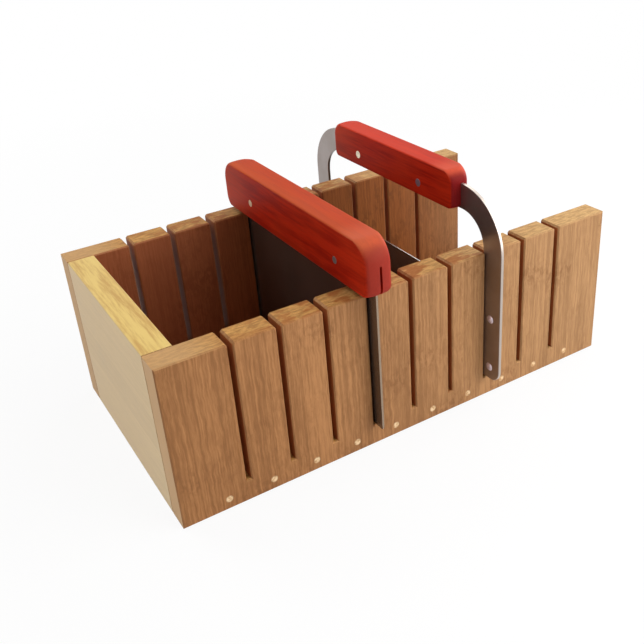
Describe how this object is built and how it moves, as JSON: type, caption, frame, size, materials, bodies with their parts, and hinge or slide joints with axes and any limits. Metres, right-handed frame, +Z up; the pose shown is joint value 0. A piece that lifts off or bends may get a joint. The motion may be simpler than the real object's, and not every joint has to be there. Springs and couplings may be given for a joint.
{
  "type": "soap cutter",
  "caption": "Slotted bamboo box for cutting a soap loaf into bars, with a straight plate cutter and a riveted bow cutter, each with a red wooden handle, standing in its slots.",
  "frame": {"origin": "centre of the underside of the box, which is the face it stands on", "axes": "+X along the box from its closed end to its open end, +Y across it from the front side board to the rear one, +Z up"},
  "size_m": [0.275, 0.193, 0.1323],
  "materials": {
    "bamboo": "sanded",
    "dowel": "sanded end grain",
    "red_stained_wood": "satin stain",
    "plate_steel": "ground",
    "strip_steel": "brushed",
    "band_steel": "ground",
    "pin_metal": "ground flush",
    "rivet_steel": "polished"
  },
  "bodies": {
    "box": {"front_side_board": "bamboo", "rear_side_board": "bamboo", "end_board": "bamboo", "floor_board": "bamboo", "front_floor_pins": "dowel", "rear_floor_pins": "dowel"},
    "straight_cutter": {"straight_blade": "plate_steel", "straight_handle": "red_stained_wood", "straight_handle_pins": "pin_metal"},
    "bow_cutter": {"bow_frame": "strip_steel", "bow_blade": "band_steel", "bow_handle": "red_stained_wood", "bow_handle_pins": "pin_metal", "front_leg_rivets": "rivet_steel", "rear_leg_rivets": "rivet_steel"}
  },
  "joints": [
    {"name": "straight_cutter_lift", "type": "slide", "parent": "box", "child": "straight_cutter", "axis": [0, 0, 1], "range_m": [0, 0.085]},
    {"name": "bow_cutter_lift", "type": "slide", "parent": "box", "child": "bow_cutter", "axis": [0, 0, 1], "range_m": [0, 0.085]}
  ]
}
